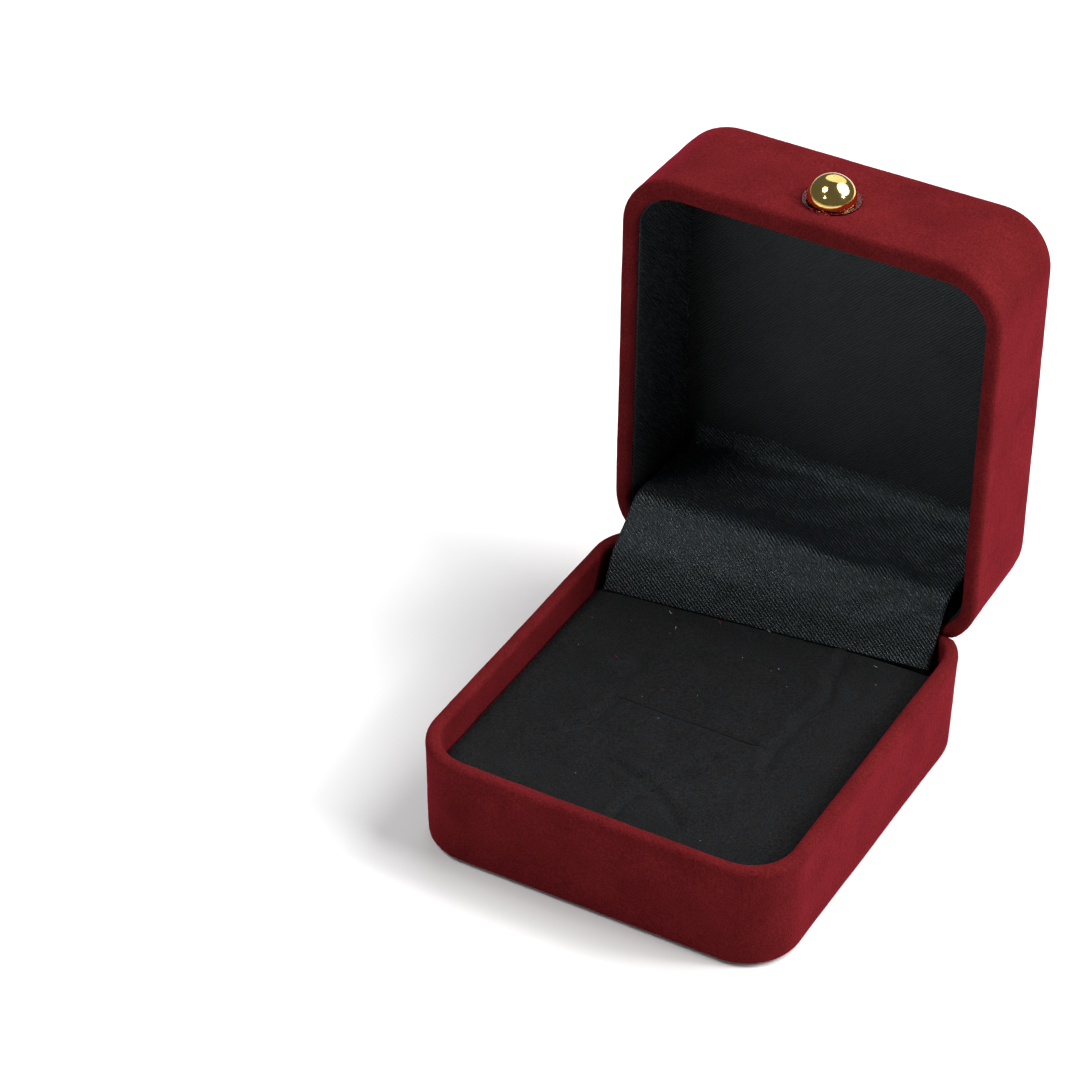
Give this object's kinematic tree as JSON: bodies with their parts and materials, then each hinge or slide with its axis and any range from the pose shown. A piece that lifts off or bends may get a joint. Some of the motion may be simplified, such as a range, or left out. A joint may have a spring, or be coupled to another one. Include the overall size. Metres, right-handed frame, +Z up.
{
  "type": "ring box",
  "caption": "Small hinged ring box in velvet with a sunburst lid, satin lining, slit pad and a round knob.",
  "frame": {"origin": "centre of the flat face that the base stands on", "axes": "+Z up, -Y towards the front with the knob when closed, +X to the right"},
  "size_m": [0.0602, 0.0849, 0.0853],
  "materials": {
    "red_velvet": "crimson flocked velvet",
    "black_velvet": "short black velvet",
    "black_satin": "black satin twill",
    "base_felt": "black felt",
    "foam": "soft foam",
    "card": "grey board",
    "moulded_shell": "moulded shell",
    "hinge_steel": "plated steel",
    "gold": "polished gold plate",
    "clear_washer": "clear plastic"
  },
  "bodies": {
    "base": {"base_shell": "moulded_shell", "base_velvet_cover": "red_velvet", "base_felt": "base_felt", "pad_card": "card", "pad_foam": "foam", "pad_velvet": "black_velvet", "hinge_base_leaf": "hinge_steel", "hinge_base_rivets": "hinge_steel", "hinge_pin": "hinge_steel"},
    "lid": {"lid_shell": "moulded_shell", "lid_velvet_cover": "red_velvet", "sunburst_core": "foam", "sunburst_velvet": "red_velvet", "lid_top_card": "card", "lid_top_satin": "black_satin", "lid_wall_card": "card", "lid_wall_satin": "black_satin", "satin_flap": "black_satin", "hinge_lid_leaf": "hinge_steel", "hinge_lid_rivets": "hinge_steel", "knob_ball": "gold", "knob_stem": "gold", "knob_washer": "clear_washer", "knob_push_nut": "hinge_steel"}
  },
  "joints": [
    {"name": "lid_hinge", "type": "hinge", "parent": "base", "child": "lid", "pos_m": [0, 0.03, 0.018], "axis": [1, 0, 0], "range_deg": [0, 90], "deforming": ["satin_flap"]}
  ]
}
